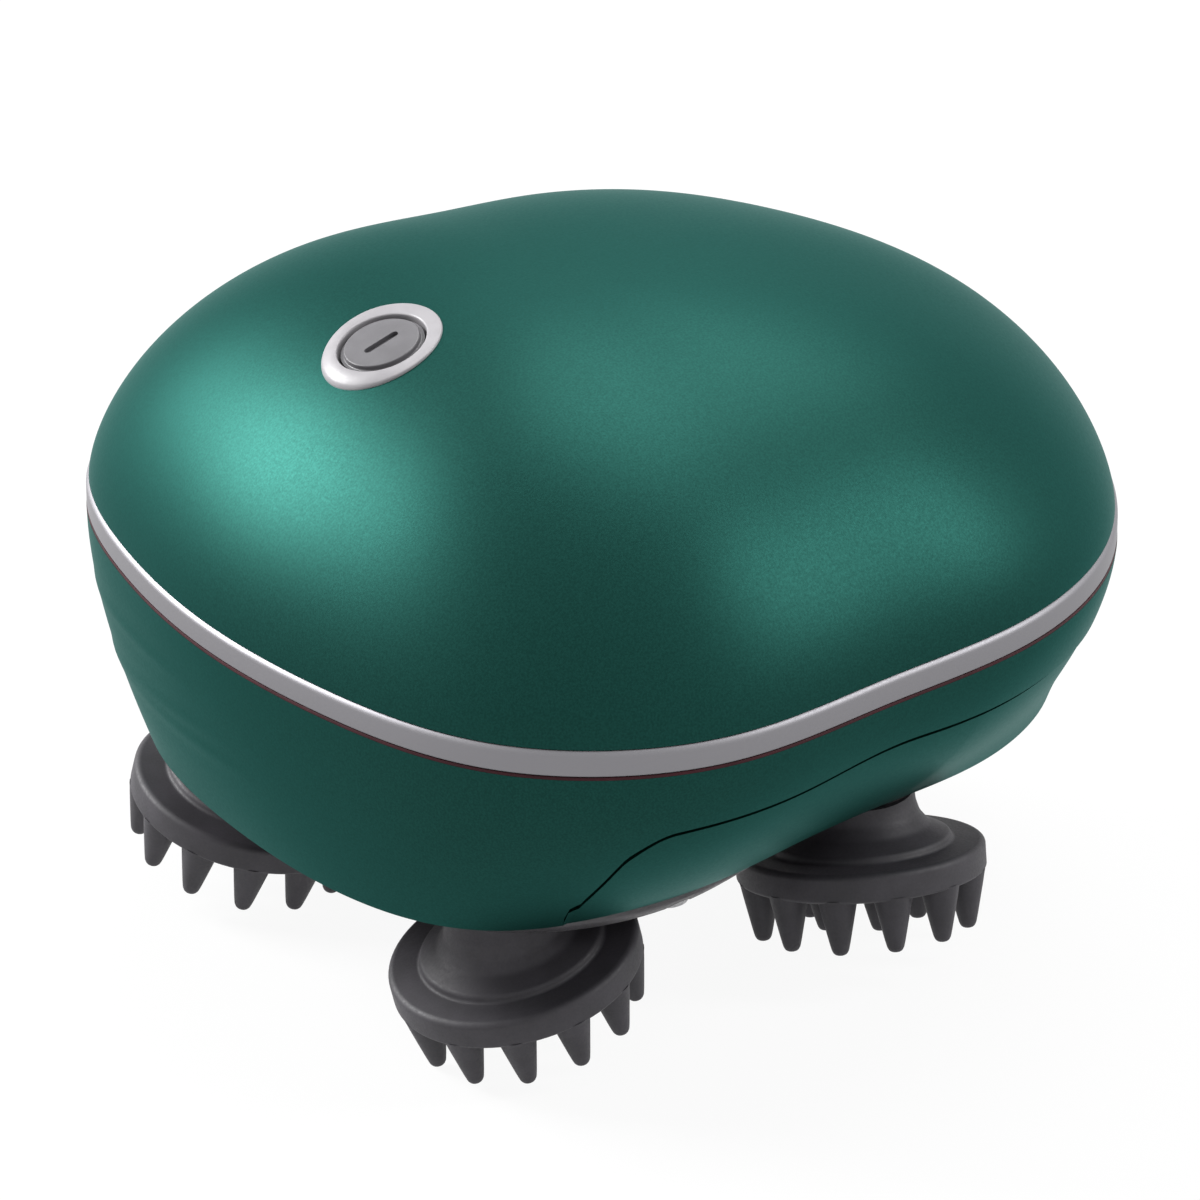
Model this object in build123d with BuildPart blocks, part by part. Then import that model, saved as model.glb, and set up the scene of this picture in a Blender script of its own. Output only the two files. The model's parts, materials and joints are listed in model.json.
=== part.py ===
from build123d import *
from math import acos, atan2, cos, degrees, hypot, pi, radians, sin, sqrt, tan
import os

os.makedirs("parts", exist_ok=True)

# Electric scalp massager. A domed cover and a lower housing close on a bright trim ring, and four
# kneading heads hang below a base plate. One gearmotor turns a large drive gear, which turns a gear on
# each head shaft. +X is the nose, -X the tail with the power button, +Z up. The origin is on the
# surface that the tines stand on, under the middle of the case. All sizes are in millimetres.

# ---- Case outline -------------------------------------------------------------------------------
case_length = 119.4        # at the rim, where the trim ring sits
case_width = 116.2
foot_length = 110.2        # at the lower edge of the housing
foot_width = 84.8
# Half outlines, nose to tail, as shares of half the length and half the width.
rim_shape = [(1.0, 0.0), (0.896, 0.398), (0.665, 0.723), (0.328, 0.909), (-0.039, 0.966),
             (-0.441, 0.995), (-0.801, 0.783), (-0.958, 0.391), (-1.0, 0.0)]
foot_shape = [(1.0, 0.0), (0.857, 0.483), (0.528, 0.741), (0.218, 0.814), (-0.042, 0.894),
              (-0.361, 1.0), (-0.726, 0.889), (-0.946, 0.486), (-1.0, 0.0)]
corner_stations = (2, 6)   # places in the half outline where the cover screws sit
flank_station = 5          # place in the half outline where the side plate screws sit

# ---- Case heights and walls ---------------------------------------------------------------------
housing_height = 23.9      # lower housing, foot to rim
gasket_thickness = 0.6
trim_height = 3.3
dome_height = 32.8         # cover, above the trim ring
apex_x = -10.3
plan_power = 2.49          # roundness of the dome across its plan
rise_power = 1.49          # roundness of the dome up its height
side_fullness = 1.5        # how late the housing's sides turn in towards the foot
cover_step = 0.35          # the cover stands back from the trim ring by this much
wall = 2.4
trim_depth = 3.0           # width of the trim ring in plan
trim_chamfer = 0.6
spigot_gap = 0.1
spigot_wall = 2.0
spigot_rise = 2.4
shelf_width = 11.0
shelf_thickness = 2.5
flange_width = 8.0
flange_thickness = 2.4

# ---- Base plate ---------------------------------------------------------------------------------
plate_depth = 3.6          # how far the plate stands below the housing
plate_step = 1.2           # the plate stands back from the housing's edge
plate_chamfer = 1.8
lip_wall = 1.6
lip_gap = 0.15

# ---- Heads --------------------------------------------------------------------------------------
head_tilt = 14.0           # each disc leans on its vertical shaft, so it kneads as it turns
disc_radius = 15.0
disc_thickness = 3.6
disc_chamfer = 0.5
neck_length = 7.4          # along the leaning axis, disc face to the shaft's axis
neck_radius = 6.2
flare_radius = 3.0         # curve between the disc and the neck
flare_steps = 3
neck_gap = 0.4             # running gap under the base plate
tine_length = 6.8
tine_count = 12
tine_base = 2.35
tine_tip = 0.75
tine_sides = 8
inner_tine_ring = 6.6
inner_tine_count = 6
inner_tine_length = 5.6
hub_radius = 4.2
hub_sink = 2.2             # how far the hub reaches into the disc
# Direction that each disc leans to at rest, in degrees from +X.
lean_at_rest = {"tail_right": 175.0, "nose_right": 72.0, "tail_left": -60.0, "nose_left": -150.0}

# ---- Gear train ---------------------------------------------------------------------------------
module = 1.0
sun_teeth = 52
head_teeth = 20
pressure_angle = 20.0
addendum = 1.0
dedendum = 1.25
backlash = 0.12
gear_width = 5.0
train_x = -10.0            # the drive gear's axis
gear_drop = 12.7           # rim down to the top of the gears
shaft_radius = 2.5
running_gap = 0.04
seat_gap = 0.01
gear_hub_radius = 5.0
end_float = 0.15

# ---- Bushes, seals and clips --------------------------------------------------------------------
bush_radius = 4.0
bush_boss_radius = 6.0
seal_radius = 7.0
seal_thickness = 1.7
clip_radius = 4.5
clip_thickness = 0.6
shaft_overrun = 1.0

# ---- Chassis ------------------------------------------------------------------------------------
chassis_gap = 2.0          # above the gears
chassis_thickness = 2.6
chassis_margin = 8.0       # beyond the shaft axes
chassis_reach = 13.0       # further towards the nose, under the battery
chassis_round = 8.0
post_radius = 3.3
post_reach = 31.5          # chassis posts from the drive gear's axis

# ---- Motor --------------------------------------------------------------------------------------
gearbox_radius = 14.0
gearbox_height = 12.0
gearbox_flange = 2.0
flange_reach = 20.5
motor_radius = 12.2
motor_height = 21.0
output_radius = 3.0
output_boss_radius = 5.0
motor_screw_reach = 17.0

# ---- Battery ------------------------------------------------------------------------------------
battery_radius = 9.2
battery_length = 50.0
battery_x = 30.0
cradle_floor = 1.5
cradle_width = 11.0
cradle_rise = 5.0
cradle_gap = 0.1
terminal_radius = 3.0
terminal_height = 0.8

# ---- Power button -------------------------------------------------------------------------------
button_x = -34.6
button_tilt = 18.0
bezel_radius = 7.3
button_radius = 5.05
button_gap = 0.35
button_travel = 0.6
bezel_thickness = 2.0
bezel_chamfer = 0.35
bezel_sleeve_wall = 0.9
bezel_sleeve_length = 2.4
bezel_proud = 0.25
button_gasket_thickness = 0.5
button_gasket_margin = 0.3
button_cap_thickness = 1.9
button_stem_radius = 2.0
button_stem_length = 1.8
mark_length = 3.9
mark_width = 0.75
mark_depth = 0.3
seat_boss_radius = 10.5
seat_boss_depth = 4.4

# ---- Circuit board ------------------------------------------------------------------------------
board_length = 26.0        # across the case
board_width = 16.0
board_thickness = 1.6
board_round = 1.5
switch_size = 6.0
switch_height = 3.0
switch_plunger_radius = 1.7
switch_plunger_height = 0.9
board_post_reach = 10.5
board_post_radius = 2.4

# ---- Charging port ------------------------------------------------------------------------------
port_drop = 12.0           # below the rim
port_width = 9.6
port_height = 5.0
port_boss_wall = 1.8
port_depth = 9.0
socket_gap = 0.1

# ---- Screws -------------------------------------------------------------------------------------
screw_radius = 1.3
screw_head_radius = 2.6
screw_head_height = 1.8
screw_hole_gap = 0.25
screw_bite = 6.0
screw_boss_radius = 3.4
cross_length = 3.0
cross_width = 0.7
cross_depth = 0.9

# ---- Levels, from the floor up ------------------------------------------------------------------
tilt = radians(head_tilt)
tine_ring = disc_radius - tine_base            # so the outer tines run flush from the disc's edge
disc_z = (tine_length + disc_thickness) * cos(tilt) + tine_ring * sin(tilt) + tine_tip * sin(tilt)
pivot_z = disc_z + neck_length * cos(tilt)     # where the leaning axis crosses the shaft's axis
plate_z = pivot_z + neck_gap
foot_z = plate_z + plate_depth
rim_z = foot_z + housing_height
trim_z = rim_z + gasket_thickness
cover_z = trim_z + trim_height
gear_top_z = rim_z - gear_drop
gear_z = gear_top_z - gear_width
chassis_z = gear_top_z + chassis_gap
chassis_top_z = chassis_z + chassis_thickness
eccentricity = neck_length * sin(tilt)         # so the leaning axis meets the shaft at the plate

# ---- Places in plan -----------------------------------------------------------------------------
centre_distance = module * (sun_teeth + head_teeth) / 2
head_reach = centre_distance / sqrt(2)
head_places = {
    "tail_right": (train_x - head_reach, -head_reach),
    "nose_right": (train_x + head_reach, -head_reach),
    "tail_left": (train_x - head_reach, head_reach),
    "nose_left": (train_x + head_reach, head_reach),
}
post_places = [(train_x + post_reach, 0), (train_x - post_reach, 0),
               (train_x, post_reach), (train_x, -post_reach)]


# ---- Outlines -----------------------------------------------------------------------------------
def closed_outline(half_shape, length, width):
    """Points of a whole outline, from its half shape mirrored about the X axis."""
    half = [(x * length / 2, y * width / 2) for x, y in half_shape]
    return half + [(x, -y) for x, y in half[-2:0:-1]]


def inset(points, distance):
    """The same outline moved inwards by a distance, square to its own line at each point."""
    moved = []
    for i, (x, y) in enumerate(points):
        next_x, next_y = points[(i + 1) % len(points)]
        last_x, last_y = points[i - 1]
        along_x, along_y = next_x - last_x, next_y - last_y
        length = hypot(along_x, along_y)
        moved.append((x - distance * along_y / length, y + distance * along_x / length))
    return moved


rim = closed_outline(rim_shape, case_length, case_width)
foot = closed_outline(foot_shape, foot_length, foot_width)
cover_edge = inset(rim, cover_step)


def side_outline(z):
    """Outline of the lower housing at a height between foot and rim."""
    lean = ((rim_z - z) / housing_height) ** side_fullness
    return [(rx + lean * (fx - rx), ry + lean * (fy - ry)) for (rx, ry), (fx, fy) in zip(rim, foot)]


def dome_outline(points, share):
    """The cover's outline shrunk towards the apex to a share of its size."""
    return [(apex_x + share * (x - apex_x), share * y) for x, y in points]


def dome_rise(share, height):
    """Height of the dome where its outline has shrunk to a share of its size."""
    return height * sin(acos(share ** (plan_power / 2))) ** (2 / rise_power)


def dome_sections(points, height, angles):
    """Pairs of outline and height up the dome, one for each angle of its rounded profile."""
    shares = [cos(radians(angle)) ** (2 / plan_power) for angle in angles]
    return [(dome_outline(points, share), dome_rise(share, height)) for share in shares]


outer_angles = (0, 15, 30, 45, 60, 75, 84, 89)
inner_angles = (0, 30, 50, 65, 80)

# ---- Dome forms ---------------------------------------------------------------------------------
with BuildPart() as dome_form:
    for points, rise in dome_sections(cover_edge, dome_height, outer_angles):
        with BuildSketch(Plane.XY.offset(cover_z + rise)):
            with BuildLine():
                Spline(*points, periodic=True)
            make_face()
    loft()

with BuildPart() as dome_middle:
    for points, rise in dome_sections(inset(cover_edge, wall / 2), dome_height - wall / 2, inner_angles):
        with BuildSketch(Plane.XY.offset(cover_z + rise)):
            with BuildLine():
                Spline(*points, periodic=True)
            make_face()
    loft(ruled=True)

with BuildPart() as dome_hollow:
    for points, rise in dome_sections(inset(cover_edge, wall), dome_height - wall, inner_angles):
        with BuildSketch(Plane.XY.offset(cover_z + rise)):
            with BuildLine():
                Spline(*points, periodic=True)
            make_face()
    loft(ruled=True)

# ---- Places that follow the outlines -----------------------------------------------------------
screw_line = inset(rim, shelf_width - screw_boss_radius)
cover_screw_places = [screw_line[i] for i in corner_stations]
cover_screw_places += [(x, -y) for x, y in cover_screw_places]
plate_line = inset(foot, (wall + flange_width) / 2)
plate_screw_places = [plate_line[0], plate_line[len(foot_shape) - 1]]
plate_screw_places += [plate_line[flank_station], plate_line[-flank_station]]

# The button sits square to its own leaning plane, with the middle of its face on the dome.
button_share = (apex_x - button_x) / (apex_x - cover_edge[len(rim_shape) - 1][0])
lean_x, lean_z = -sin(radians(button_tilt)), cos(radians(button_tilt))
button_face = Plane(origin=(button_x, 0, cover_z + dome_rise(button_share, dome_height) + bezel_proud),
                    x_dir=(lean_z, 0, -lean_x), z_dir=(lean_x, 0, lean_z))
bezel_foot = bezel_thickness + button_gasket_thickness
stem_foot = button_cap_thickness + button_stem_length
board_face = stem_foot + button_travel + end_float + switch_plunger_height + switch_height
board_post_places = [(0, board_post_reach), (0, -board_post_reach)]

# ---- Top cover ----------------------------------------------------------------------------------
with BuildPart() as cover_bosses:
    with BuildSketch(Plane.XY.offset(cover_z)):
        with Locations(*cover_screw_places):
            Circle(screw_boss_radius)
    extrude(amount=dome_height)
    with BuildSketch(button_face.offset(-seat_boss_depth)):
        Circle(seat_boss_radius)
    extrude(amount=seat_boss_depth + bezel_thickness)
    with BuildSketch(button_face.offset(-board_face)):
        with Locations(*board_post_places):
            Circle(board_post_radius)
    extrude(amount=board_face)
    add(dome_middle.part, mode=Mode.INTERSECT)

with BuildPart() as top_cover:
    add(dome_form.part)
    add(dome_hollow.part, mode=Mode.SUBTRACT)
    add(cover_bosses.part)
    with BuildSketch(Plane.XY.offset(cover_z)):
        with BuildLine():
            Spline(*inset(cover_edge, wall / 2), periodic=True)
        make_face()
        with BuildLine():
            Spline(*inset(rim, trim_depth + spigot_gap + spigot_wall), periodic=True)
        make_face(mode=Mode.SUBTRACT)
    extrude(amount=spigot_rise)
    with BuildSketch(Plane.XY.offset(rim_z)):
        with BuildLine():
            Spline(*inset(rim, trim_depth + spigot_gap), periodic=True)
        make_face()
        with BuildLine():
            Spline(*inset(rim, trim_depth + spigot_gap + spigot_wall), periodic=True)
        make_face(mode=Mode.SUBTRACT)
    extrude(amount=cover_z - rim_z)
    with BuildSketch(Plane.XY.offset(rim_z)):
        with Locations(*cover_screw_places):
            Circle(screw_boss_radius)
    extrude(amount=cover_z - rim_z)
    with BuildSketch(Plane.XY.offset(rim_z)):
        with Locations(*cover_screw_places):
            Circle(screw_radius)
    extrude(amount=screw_bite, mode=Mode.SUBTRACT)
    with BuildSketch(button_face.offset(-bezel_foot)):
        Circle(bezel_radius + button_gasket_margin)
    extrude(amount=2 * bezel_foot, mode=Mode.SUBTRACT)
    with BuildSketch(button_face.offset(-seat_boss_depth)):
        Circle(button_radius + button_gap + bezel_sleeve_wall + seat_gap)
    extrude(amount=seat_boss_depth, mode=Mode.SUBTRACT)
    with BuildSketch(button_face.offset(-board_face)):
        with Locations(*board_post_places):
            Circle(screw_radius)
    extrude(amount=screw_bite / 2, mode=Mode.SUBTRACT)

# ---- Trim ring and gasket -----------------------------------------------------------------------
with BuildPart() as trim_ring:
    with BuildSketch(Plane.XY.offset(trim_z)):
        with BuildLine():
            Spline(*rim, periodic=True)
        make_face()
        with BuildLine():
            Spline(*inset(rim, trim_depth), periodic=True)
        make_face(mode=Mode.SUBTRACT)
    extrude(amount=trim_height)
    outer_edges = trim_ring.edges().group_by(SortBy.LENGTH)[-1]
    chamfer(outer_edges, trim_chamfer)

with BuildPart() as seal_gasket:
    with BuildSketch(Plane.XY.offset(rim_z)):
        with BuildLine():
            Spline(*rim, periodic=True)
        make_face()
        with BuildLine():
            Spline(*inset(rim, trim_depth), periodic=True)
        make_face(mode=Mode.SUBTRACT)
    extrude(amount=gasket_thickness)

# ---- Lower housing ------------------------------------------------------------------------------
side_steps = 4
cavity_floor_z = foot_z + flange_thickness
cavity_top_z = rim_z - shelf_thickness
port_z = rim_z - port_drop
port_x = max(x for x, _ in side_outline(port_z))

with BuildPart() as housing_form:
    for step in range(side_steps + 1):
        z = rim_z - housing_height * step / side_steps
        with BuildSketch(Plane.XY.offset(z)):
            with BuildLine():
                Spline(*side_outline(z), periodic=True)
            make_face()
    loft()

with BuildPart() as port_boss:
    with BuildSketch(Plane.YZ.offset(port_x - port_depth - wall)):
        with Locations((0, port_z)):
            RectangleRounded(port_width + 2 * port_boss_wall, port_height + 2 * port_boss_wall,
                             port_height / 2)
    extrude(amount=port_depth + 2 * wall)
    add(housing_form.part, mode=Mode.INTERSECT)

with BuildPart() as lower_housing:
    add(housing_form.part)
    for z in (cavity_top_z, (cavity_top_z + cavity_floor_z) / 2, cavity_floor_z):
        with BuildSketch(Plane.XY.offset(z)):
            with BuildLine():
                Spline(*inset(side_outline(z), wall), periodic=True)
            make_face()
    loft(ruled=True, mode=Mode.SUBTRACT)
    with BuildSketch(Plane.XY.offset(foot_z)):
        with BuildLine():
            Spline(*inset(foot, flange_width), periodic=True)
        make_face()
        with Locations(*head_places.values()):
            Circle(bush_boss_radius + lip_gap)
        with Locations(*post_places):
            Circle(post_radius + lip_gap)
    extrude(amount=flange_thickness, mode=Mode.SUBTRACT)
    with BuildSketch(Plane.XY.offset(cavity_top_z)):
        with BuildLine():
            Spline(*inset(rim, shelf_width), periodic=True)
        make_face()
    extrude(amount=shelf_thickness, mode=Mode.SUBTRACT)
    with BuildSketch(Plane.XY.offset(foot_z)):
        with Locations(*plate_screw_places):
            Circle(screw_boss_radius)
    extrude(amount=screw_bite + flange_thickness)
    with BuildSketch(Plane.XY.offset(foot_z)):
        with Locations(*plate_screw_places):
            Circle(screw_radius)
    extrude(amount=screw_bite, mode=Mode.SUBTRACT)
    with BuildSketch(Plane.XY.offset(cavity_top_z)):
        with Locations(*cover_screw_places):
            Circle(screw_radius + screw_hole_gap)
    extrude(amount=shelf_thickness, mode=Mode.SUBTRACT)
    add(port_boss.part)
    with BuildSketch(Plane.YZ.offset(port_x - port_depth - wall)):
        with Locations((0, port_z)):
            RectangleRounded(port_width, port_height, port_height / 2 - seat_gap)
    extrude(amount=port_depth + 2 * wall, mode=Mode.SUBTRACT)

# ---- Base plate ---------------------------------------------------------------------------------
lower_bush_z = plate_z + seal_thickness
lower_bush_top_z = gear_z - end_float - (gear_z - foot_z) / 3

with BuildPart() as base_plate:
    with BuildSketch(Plane.XY.offset(plate_z)):
        with BuildLine():
            Spline(*inset(foot, plate_step), periodic=True)
        make_face()
    extrude(amount=plate_depth)
    chamfer(base_plate.faces().sort_by(Axis.Z)[0].edges(), plate_chamfer)
    with BuildSketch(Plane.XY.offset(foot_z)):
        with BuildLine():
            Spline(*inset(foot, flange_width + lip_gap), periodic=True)
        make_face()
        with BuildLine():
            Spline(*inset(foot, flange_width + lip_gap + lip_wall), periodic=True)
        make_face(mode=Mode.SUBTRACT)
        with Locations(*plate_screw_places):
            Circle(screw_boss_radius + lip_gap, mode=Mode.SUBTRACT)
    extrude(amount=flange_thickness)
    with BuildSketch(Plane.XY.offset(foot_z)):
        with Locations(*head_places.values()):
            Circle(bush_boss_radius)
    extrude(amount=lower_bush_top_z - foot_z)
    with BuildSketch(Plane.XY.offset(foot_z)):
        with Locations(*post_places):
            Circle(post_radius)
    extrude(amount=chassis_z - foot_z)
    with BuildSketch(Plane.XY.offset(chassis_z - screw_bite)):
        with Locations(*post_places):
            Circle(screw_radius)
    extrude(amount=screw_bite, mode=Mode.SUBTRACT)
    with BuildSketch(Plane.XY.offset(plate_z)):
        with Locations(*head_places.values()):
            Circle(bush_radius + seat_gap)
    extrude(amount=lower_bush_top_z - plate_z, mode=Mode.SUBTRACT)
    with BuildSketch(Plane.XY.offset(plate_z)):
        with Locations(*head_places.values()):
            Circle(seal_radius + seat_gap)
    extrude(amount=seal_thickness, mode=Mode.SUBTRACT)
    with BuildSketch(Plane.XY.offset(plate_z)):
        with Locations(*plate_screw_places):
            Circle(screw_radius + screw_hole_gap)
    extrude(amount=plate_depth, mode=Mode.SUBTRACT)
    with BuildSketch(Plane.XY.offset(plate_z)):
        with Locations(*plate_screw_places):
            Circle(screw_head_radius + screw_hole_gap)
    extrude(amount=screw_head_height, mode=Mode.SUBTRACT)


# ---- Rings that carry the head shafts -----------------------------------------------------------
def ring_group(z, height, outer_radius, inner_radius):
    """Four equal rings, one round each head shaft."""
    with BuildPart() as rings:
        with BuildSketch(Plane.XY.offset(z)):
            with Locations(*head_places.values()):
                Circle(outer_radius)
                Circle(inner_radius, mode=Mode.SUBTRACT)
        extrude(amount=height)
    return rings


upper_bush_z = gear_top_z + chassis_gap / 2
lip_seals = ring_group(plate_z, seal_thickness, seal_radius, shaft_radius + 2 * running_gap)
lower_bushes = ring_group(lower_bush_z, lower_bush_top_z - lower_bush_z, bush_radius,
                          shaft_radius + running_gap)
upper_bushes = ring_group(upper_bush_z, chassis_top_z - upper_bush_z, bush_radius,
                          shaft_radius + running_gap)

# ---- Chassis ------------------------------------------------------------------------------------
chassis_width = 2 * (head_reach + chassis_margin)
chassis_length = chassis_width + chassis_reach
motor_screw_places = [(train_x, motor_screw_reach), (train_x, -motor_screw_reach)]

with BuildPart() as chassis:
    with BuildSketch(Plane.XY.offset(chassis_z)):
        with Locations((train_x + chassis_reach / 2, 0)):
            RectangleRounded(chassis_length, chassis_width, chassis_round)
        with Locations(*head_places.values()):
            Circle(bush_radius + seat_gap, mode=Mode.SUBTRACT)
        with Locations(*post_places):
            Circle(screw_radius + screw_hole_gap, mode=Mode.SUBTRACT)
        with Locations(*motor_screw_places):
            Circle(screw_radius, mode=Mode.SUBTRACT)
        with Locations((train_x, 0)):
            Circle(output_boss_radius + seat_gap, mode=Mode.SUBTRACT)
    extrude(amount=chassis_thickness)

# ---- Gearmotor ----------------------------------------------------------------------------------
gearbox_top_z = chassis_top_z + gearbox_height

with BuildPart() as gearbox:
    with BuildSketch(Plane.XY.offset(chassis_top_z)):
        with Locations((train_x, 0)):
            SlotCenterToCenter(2 * motor_screw_reach, 2 * (flange_reach - motor_screw_reach), rotation=90)
            Circle(gearbox_radius)
        with Locations(*motor_screw_places):
            Circle(screw_radius + screw_hole_gap, mode=Mode.SUBTRACT)
    extrude(amount=gearbox_flange)
    with BuildSketch(Plane.XY.offset(chassis_top_z)):
        with Locations((train_x, 0)):
            Circle(gearbox_radius)
    extrude(amount=gearbox_height)
    with BuildSketch(Plane.XY.offset(chassis_z)):
        with Locations((train_x, 0)):
            Circle(output_boss_radius)
    extrude(amount=chassis_thickness)
    with BuildSketch(Plane.XY.offset(chassis_z)):
        with Locations((train_x, 0)):
            Circle(output_radius + running_gap)
    extrude(amount=chassis_thickness + gearbox_height / 2, mode=Mode.SUBTRACT)

with BuildPart() as motor_can:
    with BuildSketch(Plane.XY.offset(gearbox_top_z)):
        with Locations((train_x, 0)):
            Circle(motor_radius)
    extrude(amount=motor_height)
    chamfer(motor_can.faces().sort_by(Axis.Z)[-1].edges(), 1)


# ---- Gears --------------------------------------------------------------------------------------
def involute_angle(radius, base_radius):
    """How far an involute has turned away from its start, in radians, at a radius."""
    grip = acos(min(1, base_radius / radius))
    return tan(grip) - grip


def gear(teeth, bore, hub_bottom_z, hub_top_z):
    """Spur gear about the Z axis, with a tooth on +X and a hub on both faces.

    The flanks are straight and lie just inside the involute.
    """
    pitch_radius = module * teeth / 2
    base_radius = pitch_radius * cos(radians(pressure_angle))
    tip_radius = pitch_radius + addendum * module
    root_radius = pitch_radius - dedendum * module
    heel_radius = max(base_radius, root_radius)
    half_tooth = (pi * module / 2 - backlash) / 2 / pitch_radius + involute_angle(pitch_radius, base_radius)
    tip_half = half_tooth - involute_angle(tip_radius, base_radius)
    heel_half = half_tooth - involute_angle(heel_radius, base_radius)
    flank = [(0, 0), (heel_radius * cos(heel_half), heel_radius * sin(heel_half)),
             (tip_radius * cos(tip_half), tip_radius * sin(tip_half))]
    tooth = flank + [(x, -y) for x, y in reversed(flank[1:])]
    with BuildPart() as wheel:
        with BuildSketch(Plane.XY.offset(gear_z)):
            Circle(root_radius)
            with PolarLocations(0, teeth):
                Polygon(*tooth, align=None)
        extrude(amount=gear_width)
        with BuildSketch(Plane.XY.offset(hub_bottom_z)):
            Circle(gear_hub_radius)
        extrude(amount=hub_top_z - hub_bottom_z)
        with BuildSketch(Plane.XY.offset(hub_bottom_z)):
            Circle(bore + seat_gap)
        extrude(amount=hub_top_z - hub_bottom_z, mode=Mode.SUBTRACT)
    return wheel


head_gear = gear(head_teeth, shaft_radius, lower_bush_top_z + end_float, upper_bush_z - end_float)
sun_gear = gear(sun_teeth, output_radius, gear_z - module, chassis_z - end_float)
with BuildPart() as drive_gear:
    with Locations((train_x, 0, 0)):
        add(sun_gear.part)

output_shaft_z = gear_z - module
output_shaft_top_z = chassis_top_z + gearbox_height / 2 - end_float
with BuildPart() as output_shaft:
    with BuildSketch(Plane.XY.offset(output_shaft_z)):
        with Locations((train_x, 0)):
            Circle(output_radius)
    extrude(amount=output_shaft_top_z - output_shaft_z)


# ---- Massage heads ------------------------------------------------------------------------------
# One head is made on its shaft at the origin, leaning towards +X, then set at each place.
shaft_foot_z = disc_z + shaft_radius * tan(tilt)
shaft_top_z = chassis_top_z + clip_thickness + shaft_overrun
disc_face = Plane(origin=(-eccentricity, 0, disc_z), x_dir=(cos(tilt), 0, -sin(tilt)),
                  z_dir=(sin(tilt), 0, cos(tilt)))
disc_profile = Plane(origin=disc_face.origin, x_dir=disc_face.x_dir, z_dir=-disc_face.y_dir)

with BuildPart() as head_shaft:
    with BuildSketch(Plane.XY.offset(shaft_foot_z)):
        Circle(shaft_radius)
    extrude(amount=shaft_top_z - shaft_foot_z)

with BuildPart() as shaft_clip:
    with BuildSketch(Plane.XY.offset(chassis_top_z + end_float)):
        Circle(clip_radius)
        Circle(shaft_radius + seat_gap, mode=Mode.SUBTRACT)
    extrude(amount=clip_thickness)

with BuildPart() as hub_form:
    with BuildSketch(disc_face.offset(-hub_sink)):
        Circle(hub_radius)
    extrude(amount=hub_sink + 2 * neck_length)
    with BuildSketch(Plane.XY.offset(pivot_z)):
        Circle(2 * neck_length)
    extrude(amount=2 * neck_length, mode=Mode.SUBTRACT)

with BuildPart() as crank_hub:
    add(hub_form.part)
    with BuildSketch(Plane.XY.offset(shaft_foot_z)):
        Circle(shaft_radius + seat_gap)
    extrude(amount=neck_length, mode=Mode.SUBTRACT)


def tine_circle(radius, count, length):
    """A ring of tapered tines under the disc, standing square to it."""
    with BuildPart() as tines:
        with BuildSketch(disc_face.offset(-disc_thickness)):
            with PolarLocations(radius, count):
                RegularPolygon(tine_base, tine_sides)
        with BuildSketch(disc_face.offset(-disc_thickness - length)):
            with PolarLocations(radius, count):
                RegularPolygon(tine_tip, tine_sides)
        roots = tines.pending_faces[:count]
        tips = tines.pending_faces[count:]
        tines.pending_faces.clear()
        for root, tip in zip(roots, tips):
            loft([root, tip], ruled=True)
    return tines


outer_tines = tine_circle(tine_ring, tine_count, tine_length)
inner_tines = tine_circle(inner_tine_ring, inner_tine_count, inner_tine_length)

flare_turns = [pi / 2 * step / flare_steps for step in range(flare_steps + 1)]
flare = [(neck_radius + flare_radius * (1 - sin(turn)), flare_radius * (1 - cos(turn)))
         for turn in flare_turns]

with BuildPart() as massage_head:
    with BuildSketch(disc_profile):
        with BuildLine():
            Polyline(*flare, (neck_radius, 2 * neck_length), (0, 2 * neck_length), (0, -disc_thickness),
                     (disc_radius, -disc_thickness), (disc_radius, -disc_chamfer),
                     (disc_radius - disc_chamfer, 0), flare[0])
        make_face()
    revolve(axis=Axis(disc_face.origin, disc_face.z_dir))
    with BuildSketch(Plane.XY.offset(pivot_z)):
        Circle(2 * neck_length)
    extrude(amount=2 * neck_length, mode=Mode.SUBTRACT)
    add(outer_tines.part)
    add(inner_tines.part)
    add(hub_form.part, mode=Mode.SUBTRACT)


def placed(piece, place, turn):
    """A copy of a head piece, turned about its shaft and set at its place."""
    with BuildPart() as copy:
        with Locations(Location((place[0], place[1], 0), (0, 0, turn))):
            add(piece.part)
    return copy


head_parts = {}
for name, place in head_places.items():
    toward_sun = degrees(atan2(-place[1], train_x - place[0]))
    head_parts[f"head_gear_{name}"] = placed(head_gear, place, toward_sun)
    head_parts[f"head_shaft_{name}"] = placed(head_shaft, place, 0)
    head_parts[f"shaft_clip_{name}"] = placed(shaft_clip, place, 0)
    head_parts[f"crank_hub_{name}"] = placed(crank_hub, place, lean_at_rest[name])
    head_parts[f"massage_head_{name}"] = placed(massage_head, place, lean_at_rest[name])

# ---- Battery ------------------------------------------------------------------------------------
battery_z = chassis_top_z + cradle_floor + battery_radius

with BuildPart() as battery_cell:
    with BuildSketch(Plane.XZ.offset(-battery_length / 2)):
        with Locations((battery_x, battery_z)):
            Circle(battery_radius)
    extrude(amount=battery_length)
    with BuildSketch(Plane.XZ.offset(battery_length / 2)):
        with Locations((battery_x, battery_z)):
            Circle(terminal_radius)
    extrude(amount=terminal_height)

with BuildPart() as battery_cradle:
    with BuildSketch(Plane.XZ.offset(-battery_length / 2 + wall)):
        with Locations((battery_x, chassis_top_z)):
            Rectangle(cradle_width, cradle_rise, align=(Align.CENTER, Align.MIN))
        with Locations((battery_x, battery_z)):
            Circle(battery_radius + cradle_gap, mode=Mode.SUBTRACT)
    extrude(amount=battery_length - 2 * wall)

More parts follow.
